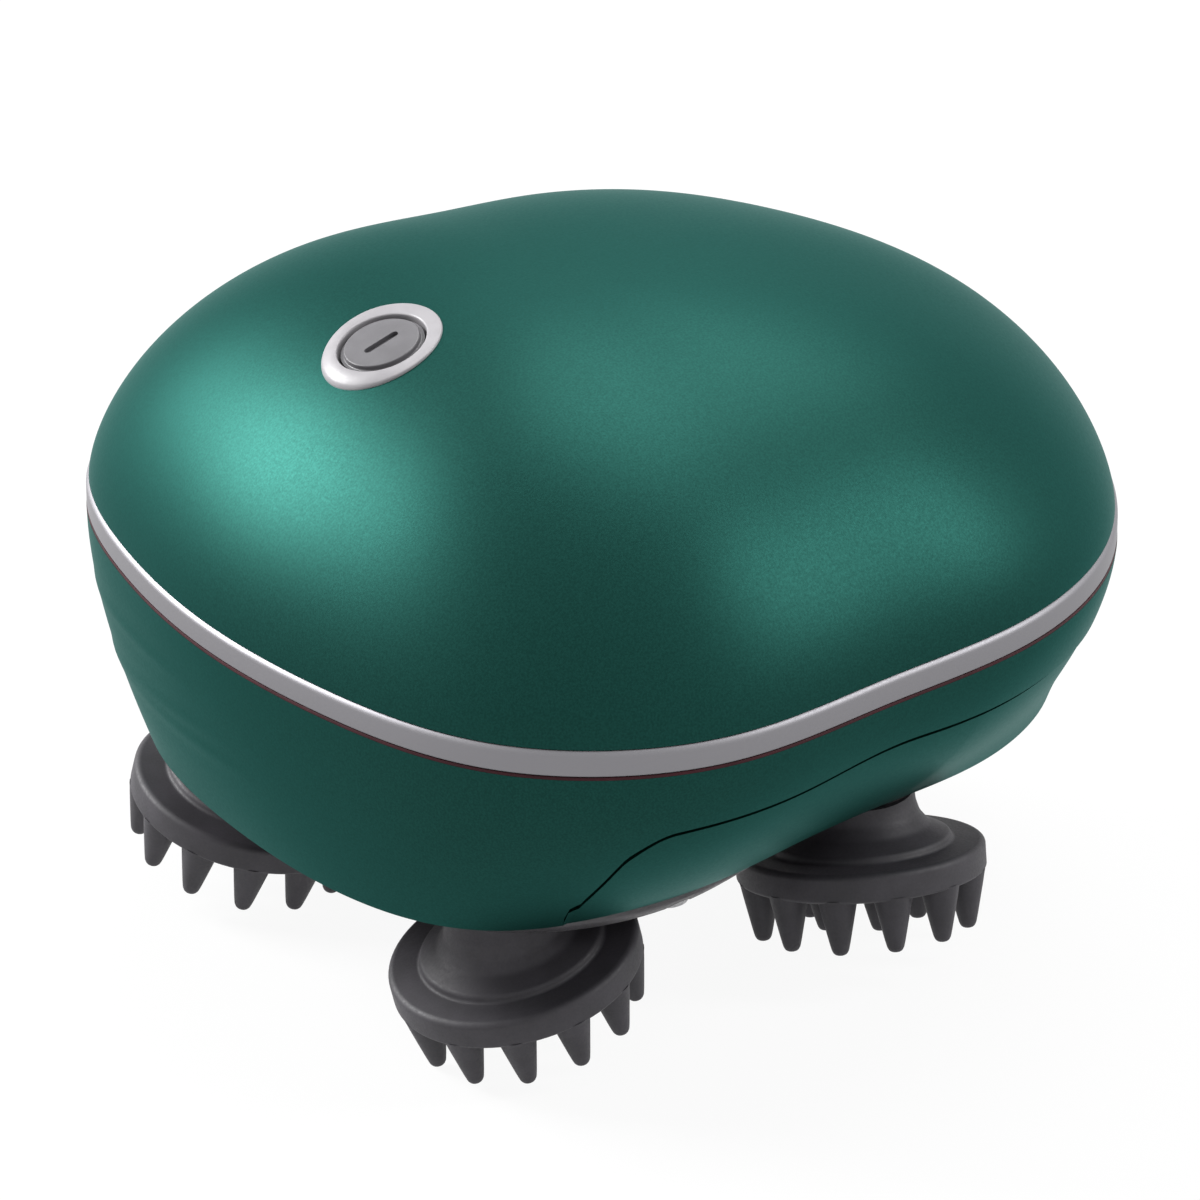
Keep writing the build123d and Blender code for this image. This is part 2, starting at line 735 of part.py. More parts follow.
# ---- Power button -------------------------------------------------------------------------------
with BuildPart() as button_gasket:
    with BuildSketch(button_face.offset(-bezel_foot)):
        Circle(bezel_radius + button_gasket_margin - seat_gap)
        Circle(button_radius + button_gap + bezel_sleeve_wall + seat_gap, mode=Mode.SUBTRACT)
    extrude(amount=button_gasket_thickness)

with BuildPart() as button_bezel:
    with BuildSketch(button_face.offset(-bezel_thickness)):
        Circle(bezel_radius)
    extrude(amount=bezel_thickness)
    chamfer(button_bezel.faces().sort_by(Axis.Z)[-1].edges(), bezel_chamfer)
    with BuildSketch(button_face.offset(-bezel_foot - bezel_sleeve_length)):
        Circle(button_radius + button_gap + bezel_sleeve_wall)
    extrude(amount=bezel_foot + bezel_sleeve_length - bezel_chamfer)
    with BuildSketch(button_face.offset(-bezel_foot - bezel_sleeve_length)):
        Circle(button_radius + button_gap)
    extrude(amount=bezel_foot + bezel_sleeve_length, mode=Mode.SUBTRACT)

with BuildPart() as power_button:
    with BuildSketch(button_face.offset(-button_cap_thickness)):
        Circle(button_radius)
    extrude(amount=button_cap_thickness)
    with BuildSketch(button_face.offset(-stem_foot)):
        Circle(button_stem_radius)
    extrude(amount=button_stem_length)
    with BuildSketch(button_face.offset(-mark_depth)):
        SlotOverall(mark_length, mark_width)
    extrude(amount=mark_depth, mode=Mode.SUBTRACT)

# ---- Circuit board ------------------------------------------------------------------------------
with BuildPart() as circuit_board:
    with BuildSketch(button_face.offset(-board_face - board_thickness)):
        RectangleRounded(board_width, board_length, board_round)
        with Locations(*board_post_places):
            Circle(screw_radius + screw_hole_gap, mode=Mode.SUBTRACT)
    extrude(amount=board_thickness)

with BuildPart() as tact_switch:
    with BuildSketch(button_face.offset(-board_face)):
        Rectangle(switch_size, switch_size)
    extrude(amount=switch_height)
    with BuildSketch(button_face.offset(-board_face + switch_height)):
        Circle(switch_plunger_radius)
    extrude(amount=switch_plunger_height)

# ---- Charging port ------------------------------------------------------------------------------
with BuildPart() as charging_socket:
    with BuildSketch(Plane.YZ.offset(port_x - port_depth - wall)):
        with Locations((0, port_z)):
            RectangleRounded(port_width - 2 * socket_gap, port_height - 2 * socket_gap,
                             port_height / 2 - 2 * socket_gap)
    extrude(amount=port_depth)

with BuildPart() as port_plug:
    with BuildSketch(Plane.YZ.offset(port_x - wall + socket_gap)):
        with Locations((0, port_z)):
            RectangleRounded(port_width - 2 * socket_gap, port_height - 2 * socket_gap,
                             port_height / 2 - 2 * socket_gap)
    extrude(amount=wall)
    add(housing_form.part, mode=Mode.INTERSECT)


# ---- Screws -------------------------------------------------------------------------------------
def screw_group(seat, places, shank_length):
    """Equal screws whose heads sit on a plane, with the shanks running down from it."""
    with BuildPart() as screws:
        with BuildSketch(seat.offset(-shank_length)):
            with Locations(*places):
                Circle(screw_radius - seat_gap)
        extrude(amount=shank_length)
        with BuildSketch(seat):
            with Locations(*places):
                Circle(screw_head_radius)
        extrude(amount=screw_head_height)
        with BuildSketch(seat.offset(screw_head_height - cross_depth)):
            with Locations(*places):
                Rectangle(cross_length, cross_width)
                Rectangle(cross_width, cross_length)
        extrude(amount=cross_depth, mode=Mode.SUBTRACT)
    return screws


def facing_down(z):
    """A level plane whose normal points down and whose X axis is the case's X axis."""
    return Plane(origin=(0, 0, z), x_dir=(1, 0, 0), z_dir=(0, 0, -1))


def flipped(places):
    """The same places read on a plane that faces down."""
    return [(x, -y) for x, y in places]


plate_screws = screw_group(facing_down(plate_z + screw_head_height), flipped(plate_screw_places),
                           plate_depth - screw_head_height + screw_bite - end_float)
cover_screws = screw_group(facing_down(cavity_top_z), flipped(cover_screw_places),
                           shelf_thickness + screw_bite - end_float)
chassis_screws = screw_group(Plane.XY.offset(chassis_top_z), post_places,
                             chassis_thickness + screw_bite - end_float)
motor_screws = screw_group(Plane.XY.offset(chassis_top_z + gearbox_flange), motor_screw_places,
                           gearbox_flange + chassis_thickness - end_float)
board_back = button_face.offset(-board_face - board_thickness)
board_seat = Plane(origin=board_back.origin, x_dir=board_back.x_dir, z_dir=-board_back.z_dir)
board_screws = screw_group(board_seat, board_post_places, board_thickness + screw_bite / 2 - end_float)

# ---- Write each piece ---------------------------------------------------------------------------
pieces = {
    "top_cover": top_cover,
    "trim_ring": trim_ring,
    "seal_gasket": seal_gasket,
    "lower_housing": lower_housing,
    "base_plate": base_plate,
    "lip_seals": lip_seals,
    "lower_bushes": lower_bushes,
    "upper_bushes": upper_bushes,
    "chassis": chassis,
    "gearbox": gearbox,
    "motor_can": motor_can,
    "drive_gear": drive_gear,
    "output_shaft": output_shaft,
    "battery_cell": battery_cell,
    "battery_cradle": battery_cradle,
    "button_gasket": button_gasket,
    "button_bezel": button_bezel,
    "power_button": power_button,
    "circuit_board": circuit_board,
    "tact_switch": tact_switch,
    "charging_socket": charging_socket,
    "port_plug": port_plug,
    "plate_screws": plate_screws,
    "cover_screws": cover_screws,
    "chassis_screws": chassis_screws,
    "motor_screws": motor_screws,
    "board_screws": board_screws,
    **head_parts,
}
for label, piece in pieces.items():
    piece.part.label = label
    export_step(piece.part, f"parts/{label}.step")
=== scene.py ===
import json
import math

import bmesh
import bpy
import numpy
from mathutils import Matrix, Vector


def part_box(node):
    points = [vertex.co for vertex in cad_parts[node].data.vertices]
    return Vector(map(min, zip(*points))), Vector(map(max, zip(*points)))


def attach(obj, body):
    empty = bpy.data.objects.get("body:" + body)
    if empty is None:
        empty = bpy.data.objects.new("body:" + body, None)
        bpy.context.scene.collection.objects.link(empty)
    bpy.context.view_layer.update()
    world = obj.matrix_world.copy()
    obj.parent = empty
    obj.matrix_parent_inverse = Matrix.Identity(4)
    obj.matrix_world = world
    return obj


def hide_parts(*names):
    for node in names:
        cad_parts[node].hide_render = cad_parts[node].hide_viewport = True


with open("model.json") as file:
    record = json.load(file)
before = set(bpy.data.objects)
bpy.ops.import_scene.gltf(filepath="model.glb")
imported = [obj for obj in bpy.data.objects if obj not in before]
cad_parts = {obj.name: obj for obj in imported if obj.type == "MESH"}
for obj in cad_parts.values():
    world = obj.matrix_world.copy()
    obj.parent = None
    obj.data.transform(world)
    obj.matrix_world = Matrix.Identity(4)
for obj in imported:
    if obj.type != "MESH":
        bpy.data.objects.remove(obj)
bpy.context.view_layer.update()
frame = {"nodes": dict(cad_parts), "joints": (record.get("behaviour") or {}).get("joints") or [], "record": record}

# Electric scalp massager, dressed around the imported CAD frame. Metres, +X the nose, +Z up.

MM = 0.001

# ---- Camera: the photograph's angle ------------------------------------------------------------
CAMERA_AZIMUTH = -33.7            # degrees from the -Y side, negative towards -X
CAMERA_ELEVATION = 25.9
CAMERA_DISTANCE = 1.0
CAMERA_CLIP_END = 10.0
CAMERA_LENS = 252.0               # mm, on a 36 mm sensor
CAMERA_SENSOR = 36.0
CAMERA_TARGET = Vector((-0.0023, 0.0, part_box("seal_gasket")[0].z + 0.06 * MM))
FRAME_PIXELS = 1200
CAMERA_SHIFT = (-14 / FRAME_PIXELS, -69 / FRAME_PIXELS)    # the target's place in the frame, off its middle


def linked(name, data):
    """A new object in the scene, made from its data."""
    thing = bpy.data.objects.new(name, data)
    bpy.context.scene.collection.objects.link(thing)
    return thing


def aim(thing, out, distance):
    """Sets a camera or lamp a distance out from the target, facing it."""
    thing.location = CAMERA_TARGET + out * distance
    thing.rotation_euler = out.to_track_quat("Z", "Y").to_euler()


def place_camera():
    """A long lens at the photograph's angle, with the small shift that its framing needs."""
    azimuth, elevation = math.radians(CAMERA_AZIMUTH), math.radians(CAMERA_ELEVATION)
    out = Vector((math.sin(azimuth) * math.cos(elevation), -math.cos(azimuth) * math.cos(elevation),
                  math.sin(elevation)))
    camera = linked("camera", bpy.data.cameras.new("camera"))
    aim(camera, out, CAMERA_DISTANCE)
    camera.data.lens = CAMERA_LENS
    camera.data.sensor_width = CAMERA_SENSOR
    camera.data.shift_x, camera.data.shift_y = CAMERA_SHIFT
    camera.data.clip_end = CAMERA_CLIP_END
    bpy.context.scene.camera = camera


# ---- Materials ---------------------------------------------------------------------------------
NOISE_LOW, NOISE_HIGH = 0.35, 0.65    # a ramp uses this part of a noise's range
MOTTLE = 12                           # a moulding's colour varies over this many times its grain


class Finish:
    """A procedural material: a principled shader with constants on its sockets, plus its textures."""

    def __init__(self, name, **constants):
        self.material = bpy.data.materials.new(name)
        self.material.use_nodes = True
        self.tree = self.material.node_tree
        self.shader = self.tree.nodes["Principled BSDF"]
        self.place = self.tree.nodes.new("ShaderNodeTexCoord").outputs["Object"]
        for socket, value in constants.items():
            self.shader.inputs[socket.replace("_", " ")].default_value = value

    def link(self, output, socket):
        self.tree.links.new(output, socket)

    def noise(self, feature, detail=3.0, stretch=(1, 1, 1)):
        """Noise whose blotches are about feature metres across."""
        mapping = self.tree.nodes.new("ShaderNodeMapping")
        mapping.inputs["Scale"].default_value = stretch
        self.link(self.place, mapping.inputs["Vector"])
        noise = self.tree.nodes.new("ShaderNodeTexNoise")
        noise.inputs["Scale"].default_value = 1 / feature
        noise.inputs["Detail"].default_value = detail
        self.link(mapping.outputs["Vector"], noise.inputs["Vector"])
        return noise.outputs["Fac"]

    def between(self, factor, low, high):
        """A ramp from low to high over the part of a noise's range that is used."""
        ramp = self.tree.nodes.new("ShaderNodeMapRange")
        ramp.inputs["From Min"].default_value = NOISE_LOW
        ramp.inputs["From Max"].default_value = NOISE_HIGH
        ramp.inputs["To Min"].default_value = low
        ramp.inputs["To Max"].default_value = high
        self.link(factor, ramp.inputs["Value"])
        return ramp.outputs["Result"]

    def colour(self, factor, low, high):
        """Base colour mixed from low to high by the factor."""
        mix = self.tree.nodes.new("ShaderNodeMix")
        mix.data_type = "RGBA"
        mix.inputs["A"].default_value = (*low, 1)
        mix.inputs["B"].default_value = (*high, 1)
        self.link(factor, mix.inputs["Factor"])
        self.link(mix.outputs["Result"], self.shader.inputs["Base Color"])

    def roughness(self, factor, low, high):
        """Roughness that goes from low to high with a noise."""
        self.link(self.between(factor, low, high), self.shader.inputs["Roughness"])

    def bump(self, factor, height, strength):
        """Surface relief, height in metres."""
        bump = self.tree.nodes.new("ShaderNodeBump")
        bump.inputs["Strength"].default_value = strength
        bump.inputs["Distance"].default_value = height
        self.link(factor, bump.inputs["Height"])
        self.link(bump.outputs["Normal"], self.shader.inputs["Normal"])


def painted():
    """Satin metallic green with fine flakes."""
    finish = Finish("green_paint", Metallic=0.88, Specular_IOR_Level=0.8, Specular_Tint=(0.5, 0.8, 0.77, 1))
    flakes = finish.noise(0.25 * MM, detail=2)
    finish.colour(finish.between(flakes, 0, 1), (0.0045, 0.037, 0.030), (0.0070, 0.050, 0.041))
    finish.roughness(finish.noise(0.4 * MM), 0.43, 0.47)
    finish.bump(flakes, 0.01 * MM, 0.25)
    return finish.material


def satin_silver():
    """Satin plating with faint streaks round the band."""
    finish = Finish("satin_trim", Metallic=1.0)
    streaks = finish.noise(0.4 * MM, stretch=(1, 1, 6))
    finish.colour(finish.between(streaks, 0, 1), (0.235, 0.23, 0.245), (0.255, 0.25, 0.265))
    finish.roughness(streaks, 0.46, 0.56)
    finish.bump(streaks, 0.01 * MM, 0.2)
    return finish.material


def moulded(name, low, high, feature, relief, rough=(0.45, 0.6), **constants):
    """Moulded plastic or rubber with a fine spark-eroded grain."""
    finish = Finish(name, **constants)
    grain = finish.noise(feature)
    finish.colour(finish.between(finish.noise(feature * MOTTLE), 0, 1), low, high)
    finish.roughness(grain, *rough)
    finish.bump(grain, relief, 0.4)
    return finish.material


def metal(name, low, high):
    """Turned metal with fine marks round its axis."""
    finish = Finish(name, Metallic=1.0)
    turning = finish.noise(0.5 * MM, stretch=(1, 1, 8))
    finish.colour(finish.between(turning, 0, 1), low, high)
    finish.roughness(turning, 0.25, 0.4)
    finish.bump(turning, 0.01 * MM, 0.3)
    return finish.material


MATERIALS = {
    "green_paint": painted(),
    "satin_trim": satin_silver(),
    "maroon_seal": moulded("maroon_seal", (0.030, 0.004, 0.007), (0.042, 0.006, 0.010), 0.3 * MM, 0.02 * MM,
                           Specular_IOR_Level=0.2),
    "charcoal_plastic": moulded("charcoal_plastic", (0.036, 0.034, 0.038), (0.048, 0.045, 0.050),
                                0.35 * MM, 0.03 * MM),
    "head_silicone": moulded("head_silicone", (0.024, 0.022, 0.027), (0.034, 0.031, 0.038),
                             0.3 * MM, 0.02 * MM, (0.55, 0.66)),
    "soft_rubber": moulded("soft_rubber", (0.015, 0.015, 0.016), (0.024, 0.024, 0.025), 0.3 * MM, 0.02 * MM),
    "grey_ring": moulded("grey_ring", (0.28, 0.27, 0.285), (0.32, 0.31, 0.325),
                         0.25 * MM, 0.01 * MM, (0.35, 0.45)),
    "grey_button": moulded("grey_button", (0.105, 0.102, 0.110), (0.125, 0.122, 0.131),
                           0.25 * MM, 0.01 * MM, (0.35, 0.45)),
    "black_plastic": moulded("black_plastic", (0.018, 0.018, 0.019), (0.030, 0.030, 0.031),
                             0.4 * MM, 0.03 * MM),
    "gear_plastic": moulded("gear_plastic", (0.66, 0.65, 0.60), (0.72, 0.71, 0.67), 0.5 * MM, 0.02 * MM),
    "plated_steel": metal("plated_steel", (0.45, 0.45, 0.46), (0.60, 0.60, 0.61)),
    "bronze": metal("bronze", (0.42, 0.27, 0.12), (0.55, 0.38, 0.18)),
    "cell_wrap": moulded("cell_wrap", (0.05, 0.13, 0.32), (0.07, 0.16, 0.38),
                         0.8 * MM, 0.01 * MM, (0.3, 0.4)),
    "board_green": moulded("board_green", (0.015, 0.09, 0.035), (0.022, 0.12, 0.05), 0.4 * MM, 0.02 * MM),
}


# ---- Shading, and the CAD nodes' finishes ------------------------------------------------------
HARD_ANGLE = math.radians(32)     # edges sharper than this stay crisp: CAD nodes, cover and housing
BUTTON_ANGLE = math.radians(40)   # the same for the button and its ring
SOFT_ANGLE = math.radians(50)     # the same for the bands and the heads
WELD_DISTANCE = 0.002 * MM


def shade(piece, angle):
    """Welds the faces of a piece at their shared edges and shades it smooth up to an angle."""
    weld = piece.modifiers.new("weld", "WELD")
    weld.merge_threshold = WELD_DISTANCE
    piece.data.shade_smooth()
    with bpy.context.temp_override(object=piece, active_object=piece, selected_editable_objects=[piece]):
        bpy.ops.object.shade_auto_smooth(angle=angle)


def coated(piece, slot, angle):
    """Gives a piece the finish of a material slot, and shades it."""
    piece.data.materials.clear()
    piece.data.materials.append(MATERIALS[slot])
    shade(piece, angle)


for entry in frame["record"]["subparts"]:
    coated(frame["nodes"][entry["node"]], entry["material_slot"], HARD_ANGLE)


# ---- Pieces made here, each in the place of a CAD node -----------------------------------------
def plain(name, mesh):
    """An object made from a bmesh, with its normals outward."""
    bmesh.ops.recalc_face_normals(mesh, faces=mesh.faces)
    data = bpy.data.meshes.new(name)
    mesh.to_mesh(data)
    mesh.free()
    return linked(name, data)


def dressed(piece, slot, body, replaced, angle):
    """Gives an object its slot's finish and lets it ride on its body in place of a CAD node."""
    coated(piece, slot, angle)
    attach(piece, body)
    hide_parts(replaced)


def cut_by(piece, cutter):
    """Cuts a piece with a closed object, which is then deleted."""
    cut = piece.modifiers.new("cut", "BOOLEAN")
    cut.object = cutter
    cut.solver = "EXACT"
    graph = bpy.context.evaluated_depsgraph_get()
    data = bpy.data.meshes.new_from_object(piece.evaluated_get(graph))
    piece.modifiers.clear()
    piece.data = data
    bpy.data.objects.remove(cutter)


# ---- Turned forms, rows of quads and bars ------------------------------------------------------
TURNED_STEPS = 96
SLOT_STEPS = 12                   # steps round each end of a slot
ON_AXIS = 1e-9                    # a profile point nearer to the axis than this lies on it


def join_rows(mesh, upper, lower):
    """Quads between two closed rows of vertices."""
    for step in range(len(upper)):
        after = (step + 1) % len(upper)
        mesh.faces.new((upper[step], upper[after], lower[after], lower[step]))


def add_rows(mesh, rows, closed):
    """Quads between rows of points; a closed stack joins its last row to its first."""
    made = [[mesh.verts.new(point) for point in row] for row in rows]
    for upper, lower in list(zip(made, made[1:])) + ([(made[-1], made[0])] if closed else []):
        join_rows(mesh, upper, lower)
    return made


def lathe(mesh, profile, steps, place=Matrix.Identity(4)):
    """Revolves (radius, height) points about +Z and sets the form at a place. Ends on the axis close."""
    rings = []
    for radius, height in profile:
        if radius < ON_AXIS:
            rings.append([mesh.verts.new(place @ Vector((0, 0, height)))])
            continue
        ring = []
        for step in range(steps):
            turn = 2 * math.pi * step / steps
            point = Vector((radius * math.cos(turn), radius * math.sin(turn), height))
            ring.append(mesh.verts.new(place @ point))
        rings.append(ring)
    for upper, lower in zip(rings, rings[1:]):
        for step in range(steps):
            after = (step + 1) % steps
            corners = [upper[step % len(upper)], upper[after % len(upper)],
                       lower[after % len(lower)], lower[step % len(lower)]]
            corners = list(dict.fromkeys(corners))
            if len(corners) > 2:
                mesh.faces.new(corners)


def rounded(corners, size, steps=4):
    """A profile whose inner corners are rounded by curves that start a distance size from each corner."""
    line = [corners[0]]
    for before, corner, after in zip(corners, corners[1:], corners[2:]):
        here, last, following = Vector(corner), Vector(before), Vector(after)
        reach = min(size, (last - here).length / 2, (following - here).length / 2)
        start = here + (last - here).normalized() * reach
        end = here + (following - here).normalized() * reach
        for step in range(steps + 1):
            share = step / steps
            point = start * (1 - share) ** 2 + here * 2 * share * (1 - share) + end * share ** 2
            line.append(tuple(point))
    return line + [corners[-1]]


def scaled(line, length=None):
    """A profile in millimetres as metres. A length stretches what lies below its zero level."""
    stretch = 1 if length is None else length / MM / -line[-1][1]
    return [(radius * MM, height * MM * (stretch if height < 0 else 1)) for radius, height in line]


def slot_outline(length, width):
    """Points round a slot along X whose ends are half circles."""
    outline = []
    for side in (1, -1):
        for step in range(SLOT_STEPS + 1):
            turn = math.pi * step / SLOT_STEPS - math.pi / 2
            outline.append((side * ((length - width) / 2 + width / 2 * math.cos(turn)),
                            side * width / 2 * math.sin(turn)))
    return outline


def bar(outline, ends, place):
    """A closed bar whose section is an outline in X and Y, between two heights along Z, set at a place."""
    mesh = bmesh.new()
    for row in add_rows(mesh, [[place @ Vector((x, y, z)) for x, y in outline] for z in ends], False):
        mesh.faces.new(row)
    return mesh


# ---- Outlines ----------------------------------------------------------------------------------
COLUMNS = 576                     # columns of quads round the case


def closed_outline(half_shape, length, width):
    """Points of a whole outline, from its half shape mirrored about the X axis."""
    half = [(x * length / 2, y * width / 2) for x, y in half_shape]
    return half + [(x, -y) for x, y in half[-2:0:-1]]


def inset(points, distance):
    """The same outline moved inwards by a distance, square to its own line at each point."""
    moved = []
    for i, (x, y) in enumerate(points):
        next_x, next_y = points[(i + 1) % len(points)]
        last_x, last_y = points[i - 1]
        along_x, along_y = next_x - last_x, next_y - last_y
        length = math.hypot(along_x, along_y)
        moved.append((x - distance * along_y / length, y + distance * along_x / length))
    return moved


def chord_knots(points):
    """Distances round an outline to each of its points, and back to the first."""
    corners = numpy.array(points + points[:1])
    return numpy.concatenate([[0.0], numpy.cumsum(numpy.hypot(*numpy.diff(corners, axis=0).T))])


def smooth_loop(points, knots):
    """One point per column round the closed cubic spline through an outline, spread evenly over its knots."""
    corners = numpy.array(points)
    total = len(corners)
    spans = numpy.diff(knots)
    system = numpy.zeros((total, total))
    pull = numpy.zeros((total, 2))
    for i in range(total):
        before, after = spans[i - 1], spans[i]
        system[i, i - 1] += before
        system[i, i] += 2 * (before + after)
        system[i, (i + 1) % total] += after
        pull[i] = 6 * ((corners[(i + 1) % total] - corners[i]) / after
                       - (corners[i] - corners[i - 1]) / before)
    bends = numpy.linalg.solve(system, pull)
    loop = []
    for step in range(COLUMNS):
        at = knots[-1] * step / COLUMNS
        i = min(int(numpy.searchsorted(knots, at, side="right")) - 1, total - 1)
        j, span = (i + 1) % total, spans[i]
        share = (at - knots[i]) / span
        rest = 1 - share
        loop.append(rest * corners[i] + share * corners[j]
                    + span ** 2 / 6 * ((rest ** 3 - rest) * bends[i] + (share ** 3 - share) * bends[j]))
    return numpy.array(loop)


def chord(loop):
    """From the point before to the point after, at each point of a loop."""
    return numpy.roll(loop, -1, axis=0) - numpy.roll(loop, 1, axis=0)


def inward(loop):
    """Unit normals that point into a loop which runs counter-clockwise."""
    along = chord(loop)
    along /= numpy.hypot(along[:, 0], along[:, 1])[:, None]
    return numpy.stack([-along[:, 1], along[:, 0]], axis=1)


def eased(line, at):
    """Height of a smooth line through (x, height) points, level at its turns and never beyond them."""
    slopes = [(b[1] - a[1]) / (b[0] - a[0]) for a, b in zip(line, line[1:])]
    tangents = [slopes[0]]
    for before, after in zip(slopes, slopes[1:]):
        tangents.append(2 * before * after / (before + after) if before * after > 0 else 0.0)
    tangents.append(slopes[-1])
    at = min(max(at, line[0][0]), line[-1][0])
    i = next(k for k in range(len(slopes)) if at <= line[k + 1][0])
    span = line[i + 1][0] - line[i][0]
    t = (at - line[i][0]) / span
    return ((1 + 2 * t) * (1 - t) ** 2 * line[i][1] + t * (1 - t) ** 2 * span * tangents[i]
            + t * t * (3 - 2 * t) * line[i + 1][1] + t * t * (t - 1) * span * tangents[i + 1])


# ---- Case: its outlines and levels -------------------------------------------------------------
CASE_LENGTH, CASE_WIDTH = 119.4 * MM, 116.2 * MM
FOOT_LENGTH, FOOT_WIDTH = 110.2 * MM, 84.8 * MM
# Half outlines, nose to tail, as shares of half the length and half the width.
RIM_SHAPE = [(1.0, 0.0), (0.896, 0.398), (0.665, 0.723), (0.328, 0.909), (-0.039, 0.966),
             (-0.441, 0.995), (-0.801, 0.783), (-0.958, 0.391), (-1.0, 0.0)]
FOOT_SHAPE = [(1.0, 0.0), (0.865, 0.505), (0.545, 0.79), (0.235, 0.862), (-0.042, 0.92),
              (-0.372, 0.99), (-0.766, 0.889), (-0.96, 0.50), (-1.0, 0.0)]
WALL = 2.4 * MM
COVER_STEP = 0.35 * MM            # the cover stands back from the trim ring by this much
FOOT_LAP = 1.0 * MM               # the housing's edge covers this much of the base plate's side
SEAL_LAP = 0.25 * MM              # and its upper edge this much of the seal

RIM = closed_outline(RIM_SHAPE, CASE_LENGTH, CASE_WIDTH)
FOOT = closed_outline(FOOT_SHAPE, FOOT_LENGTH, FOOT_WIDTH)
COVER_OUTLINE, LINING_OUTLINE = inset(RIM, COVER_STEP), inset(RIM, COVER_STEP + WALL)
RIM_LOOP, FOOT_LOOP = smooth_loop(RIM, chord_knots(RIM)), smooth_loop(FOOT, chord_knots(RIM))
COVER_LOOP = smooth_loop(COVER_OUTLINE, chord_knots(COVER_OUTLINE))
LINING_LOOP = smooth_loop(LINING_OUTLINE, chord_knots(LINING_OUTLINE))

RIM_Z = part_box("lower_housing")[1].z
FOOT_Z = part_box("lower_housing")[0].z - FOOT_LAP
HOUSING_HEIGHT = RIM_Z - FOOT_Z
COVER_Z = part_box("trim_ring")[1].z
DOME_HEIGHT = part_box("top_cover")[1].z - COVER_Z

# ---- Cover -------------------------------------------------------------------------------------
APEX_X = -11.5 * MM
# Each section of the dome: share of the way out ** PLAN_POWER + share of the height ** RISE_POWER = 1.
PLAN_POWER, RISE_POWER = 2.44, 1.5
DOME_ROWS, LINING_ROWS = 72, 16

# The button's own leaning plane, with its middle on the button's face.
BUTTON_TILT = math.radians(18)
BUTTON_RADIUS = 5.05 * MM
BUTTON_FACE = Vector((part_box("power_button")[0].x + BUTTON_RADIUS * math.cos(BUTTON_TILT), 0,
                      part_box("power_button")[1].z - BUTTON_RADIUS * math.sin(BUTTON_TILT)))
BUTTON_PLACE = Matrix.Translation(BUTTON_FACE) @ Matrix.Rotation(-BUTTON_TILT, 4, "Y")
SLEEVE_RADIUS = 6.3 * MM          # the bezel ring's sleeve, and the hole for it in the cover
HOLE_REACH = 12 * MM              # the hole is cut this far up and down from the button's face
HOLE_STEPS = 64


def dome_rows(edge, height, count):
    """Rows of points up the dome from its edge, shrinking towards the apex, without the apex itself."""
    apex = numpy.array([APEX_X, 0.0])
    rows = []
    for row in range(count):
        angle = math.pi / 2 * row / count
        share = math.cos(angle) ** (2 / PLAN_POWER)
        rise = height * math.sin(angle) ** (2 / RISE_POWER)
        rows.append([(x, y, COVER_Z + rise) for x, y in apex + share * (edge - apex)])
    return rows


def dome_level(x, y):
    """Height of the cover's surface over a point in plan."""
    spokes = COVER_LOOP - numpy.array([APEX_X, 0.0])
    turns = numpy.arctan2(spokes[:, 1], spokes[:, 0])
    nearest = numpy.argmin(numpy.abs(numpy.angle(numpy.exp(1j * (turns - math.atan2(y, x - APEX_X))))))
    share = math.hypot(x - APEX_X, y) / math.hypot(*spokes[nearest])
    return COVER_Z + DOME_HEIGHT * (1 - share ** PLAN_POWER) ** (1 / RISE_POWER)


def cover_piece():
    """The cover: a dome and its lining, joined at the lower edge, with the hole for the bezel's sleeve."""
    mesh = bmesh.new()
    outer = add_rows(mesh, dome_rows(COVER_LOOP, DOME_HEIGHT, DOME_ROWS), False)
    inner = add_rows(mesh, dome_rows(LINING_LOOP, DOME_HEIGHT - WALL, LINING_ROWS), False)
    for rows, height in ((outer, DOME_HEIGHT), (inner, DOME_HEIGHT - WALL)):
        top = mesh.verts.new((APEX_X, 0, COVER_Z + height))
        for step in range(COLUMNS):
            mesh.faces.new((rows[-1][step], rows[-1][(step + 1) % COLUMNS], top))
    join_rows(mesh, outer[0], inner[0])
    piece = plain("cover", mesh)
    hole = bmesh.new()
    line = [(0, HOLE_REACH), (SLEEVE_RADIUS, HOLE_REACH), (SLEEVE_RADIUS, -HOLE_REACH), (0, -HOLE_REACH)]
    lathe(hole, line, HOLE_STEPS, BUTTON_PLACE)
    cut_by(piece, plain("hole", hole))
    dressed(piece, "green_paint", "case", "top_cover", HARD_ANGLE)


# ---- Lower housing -----------------------------------------------------------------------------
SIDE_FULLNESS = 1.9               # how late the housing's sides turn in towards the foot
NOSE_LEAN = 0.55                  # the sides turn in earlier towards the nose, by this much of fullness
NOSE_START, NOSE_SPAN = 15 * MM, 35 * MM
SHELF_WIDTH, SHELF_THICKNESS = 11.0 * MM, 2.5 * MM
FLANGE_WIDTH, FLANGE_THICKNESS = 8.0 * MM, 2.4 * MM
SEAL_SKIN = 0.02 * MM             # the lap over the seal reaches this far to each side of the rim's line
FOOT_SKIN = 0.12 * MM             # thickness of the lap over the base plate's side
FOOT_GAP = 0.04 * MM              # between the base plate and the flange above it

